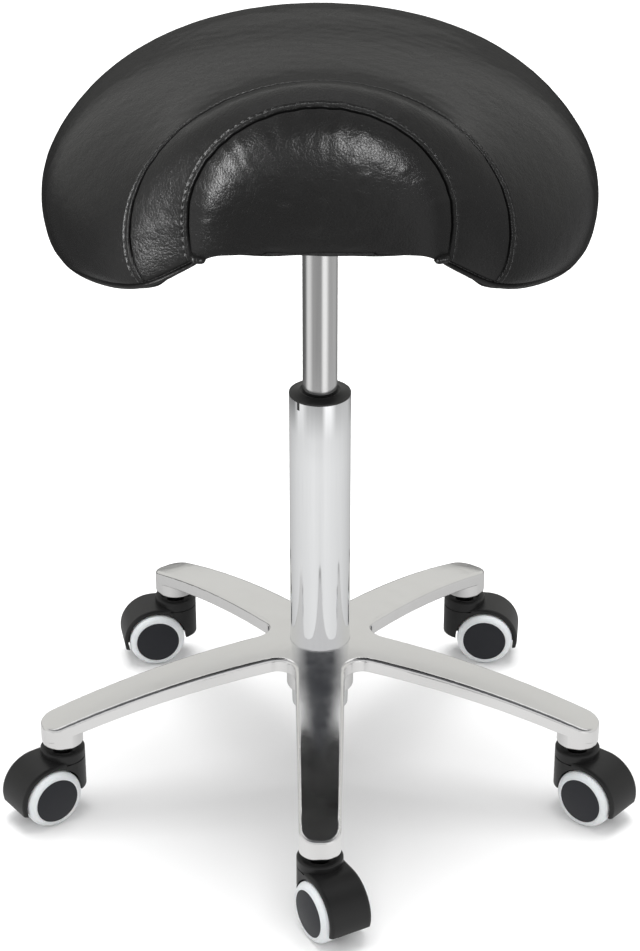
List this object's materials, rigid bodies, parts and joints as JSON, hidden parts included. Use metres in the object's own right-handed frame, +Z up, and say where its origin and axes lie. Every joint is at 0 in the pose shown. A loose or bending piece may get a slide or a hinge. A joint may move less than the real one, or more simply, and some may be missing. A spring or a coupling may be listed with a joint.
{
  "type": "rolling saddle stool",
  "caption": "Rolling saddle stool: padded saddle seat on a height-adjustable gas lift, star base with hooded twin-wheel swivel casters.",
  "frame": {"origin": "on the floor, on the axis of the lift column", "axes": "+Z up along the column; -Y towards the pommel at the seat's front; +X to the sitter's left"},
  "size_m": [0.5242, 0.4785, 0.6551],
  "materials": {
    "base_aluminium": "polished",
    "column_chrome": "polished",
    "lift_steel": "satin",
    "steel": "satin",
    "black_steel": "satin",
    "bush_plastic": "matte",
    "bearing_plastic": "satin",
    "grip_plastic": "satin",
    "hood_plastic": "satin",
    "wheel_plastic": "satin",
    "tyre": "matte",
    "rubber": "matte",
    "plywood": "matte",
    "foam": "matte",
    "seat_leather": "satin",
    "dust_cloth": "matte"
  },
  "bodies": {
    "base": {"base_casting": "base_aluminium", "column_tube": "column_chrome", "column_bush": "bush_plastic", "bearing_lower_race": "steel", "caster_stems": "steel", "stem_grip_rings": "steel"},
    "cage": {"bearing_balls": "steel", "bearing_cage_ring": "bearing_plastic"},
    "rod": {"piston_rod": "steel", "rod_clip": "steel", "piston": "base_aluminium", "piston_ring": "rubber", "bearing_upper_race": "steel", "bump_stop": "rubber"},
    "seat": {"gas_cylinder": "lift_steel", "cylinder_gland": "bearing_plastic", "seat_plate": "black_steel", "seat_pan": "plywood", "seat_foam": "foam", "seat_cover": "seat_leather", "dust_cover": "dust_cloth", "seat_bolts": "steel", "bolt_washers": "steel", "tee_nuts": "steel", "lever_pivot_pin": "steel"},
    "lever": {"height_lever": "black_steel", "lever_grip": "grip_plastic"},
    "valve": {"valve_pin": "steel"},
    "caster_front": {"caster_front_hood": "hood_plastic", "caster_front_axle": "steel"},
    "wheel_front_left": {"caster_front_wheel_left": "wheel_plastic", "caster_front_tyre_left": "tyre"},
    "wheel_front_right": {"caster_front_wheel_right": "wheel_plastic", "caster_front_tyre_right": "tyre"},
    "caster_right_front": {"caster_right_front_hood": "hood_plastic", "caster_right_front_axle": "steel"},
    "wheel_right_front_left": {"caster_right_front_wheel_left": "wheel_plastic", "caster_right_front_tyre_left": "tyre"},
    "wheel_right_front_right": {"caster_right_front_wheel_right": "wheel_plastic", "caster_right_front_tyre_right": "tyre"},
    "caster_right_rear": {"caster_right_rear_hood": "hood_plastic", "caster_right_rear_axle": "steel"},
    "wheel_right_rear_left": {"caster_right_rear_wheel_left": "wheel_plastic", "caster_right_rear_tyre_left": "tyre"},
    "wheel_right_rear_right": {"caster_right_rear_wheel_right": "wheel_plastic", "caster_right_rear_tyre_right": "tyre"},
    "caster_left_rear": {"caster_left_rear_hood": "hood_plastic", "caster_left_rear_axle": "steel"},
    "wheel_left_rear_left": {"caster_left_rear_wheel_left": "wheel_plastic", "caster_left_rear_tyre_left": "tyre"},
    "wheel_left_rear_right": {"caster_left_rear_wheel_right": "wheel_plastic", "caster_left_rear_tyre_right": "tyre"},
    "caster_left_front": {"caster_left_front_hood": "hood_plastic", "caster_left_front_axle": "steel"},
    "wheel_left_front_left": {"caster_left_front_wheel_left": "wheel_plastic", "caster_left_front_tyre_left": "tyre"},
    "wheel_left_front_right": {"caster_left_front_wheel_right": "wheel_plastic", "caster_left_front_tyre_right": "tyre"}
  },
  "joints": [
    {"name": "cage_spin", "type": "hinge", "parent": "base", "child": "cage", "pos_m": [0, 0, 0.0717], "axis": [0, 0, 1], "continuous": true},
    {"name": "seat_swivel", "type": "hinge", "parent": "base", "child": "rod", "pos_m": [0, 0, 0.1], "axis": [0, 0, 1], "continuous": true},
    {"name": "seat_lift", "type": "slide", "parent": "rod", "child": "seat", "axis": [0, 0, 1], "range_m": [-0.131, 0.012]},
    {"name": "lever_pull", "type": "hinge", "parent": "seat", "child": "lever", "pos_m": [0.022, 0, 0.529], "axis": [0, -1, 0], "range_deg": [0, 6]},
    {"name": "valve_press", "type": "slide", "parent": "seat", "child": "valve", "axis": [0, 0, -1], "range_m": [0, 0.0027]},
    {"name": "front_swivel", "type": "hinge", "parent": "base", "child": "caster_front", "pos_m": [0, -0.224, 0.06], "axis": [0, 0, 1], "continuous": true},
    {"name": "front_wheel_left_spin", "type": "hinge", "parent": "caster_front", "child": "wheel_front_left", "pos_m": [0.01, -0.24132, 0.025], "axis": [0.866, 0.5, 0], "continuous": true},
    {"name": "front_wheel_right_spin", "type": "hinge", "parent": "caster_front", "child": "wheel_front_right", "pos_m": [0.01, -0.24132, 0.025], "axis": [0.866, 0.5, 0], "continuous": true},
    {"name": "right_front_swivel", "type": "hinge", "parent": "base", "child": "caster_right_front", "pos_m": [0.21304, -0.06922, 0.06], "axis": [0, 0, 1], "continuous": true},
    {"name": "right_front_wheel_left_spin", "type": "hinge", "parent": "caster_right_front", "child": "wheel_right_front_left", "pos_m": [0.22836, -0.08208, 0.025], "axis": [0.6428, 0.766, 0], "continuous": true},
    {"name": "right_front_wheel_right_spin", "type": "hinge", "parent": "caster_right_front", "child": "wheel_right_front_right", "pos_m": [0.22836, -0.08208, 0.025], "axis": [0.6428, 0.766, 0], "continuous": true},
    {"name": "right_rear_swivel", "type": "hinge", "parent": "base", "child": "caster_right_rear", "pos_m": [0.13166, 0.18122, 0.06], "axis": [0, 0, 1], "continuous": true},
    {"name": "right_rear_wheel_left_spin", "type": "hinge", "parent": "caster_right_rear", "child": "wheel_right_rear_left", "pos_m": [0.15155, 0.17913, 0.025], "axis": [0.1045, 0.9945, 0], "continuous": true},
    {"name": "right_rear_wheel_right_spin", "type": "hinge", "parent": "caster_right_rear", "child": "wheel_right_rear_right", "pos_m": [0.15155, 0.17913, 0.025], "axis": [0.1045, 0.9945, 0], "continuous": true},
    {"name": "left_rear_swivel", "type": "hinge", "parent": "base", "child": "caster_left_rear", "pos_m": [-0.13166, 0.18122, 0.06], "axis": [0, 0, 1], "continuous": true},
    {"name": "left_rear_wheel_left_spin", "type": "hinge", "parent": "caster_left_rear", "child": "wheel_left_rear_left", "pos_m": [-0.1513, 0.1774, 0.025], "axis": [0.1908, -0.9816, 0], "continuous": true},
    {"name": "left_rear_wheel_right_spin", "type": "hinge", "parent": "caster_left_rear", "child": "wheel_left_rear_right", "pos_m": [-0.1513, 0.1774, 0.025], "axis": [0.1908, -0.9816, 0], "continuous": true},
    {"name": "left_front_swivel", "type": "hinge", "parent": "base", "child": "caster_left_front", "pos_m": [-0.21304, -0.06922, 0.06], "axis": [0, 0, 1], "continuous": true},
    {"name": "left_front_wheel_left_spin", "type": "hinge", "parent": "caster_left_front", "child": "wheel_left_front_left", "pos_m": [-0.22922, -0.08098, 0.025], "axis": [0.5878, -0.809, 0], "continuous": true},
    {"name": "left_front_wheel_right_spin", "type": "hinge", "parent": "caster_left_front", "child": "wheel_left_front_right", "pos_m": [-0.22922, -0.08098, 0.025], "axis": [0.5878, -0.809, 0], "continuous": true}
  ],
  "couplings": [
    {"joint": "cage_spin", "follows": "seat_swivel", "ratio": 0.5},
    {"joint": "valve_press", "follows": "lever_pull", "m_per_rad": 0.025}
  ]
}
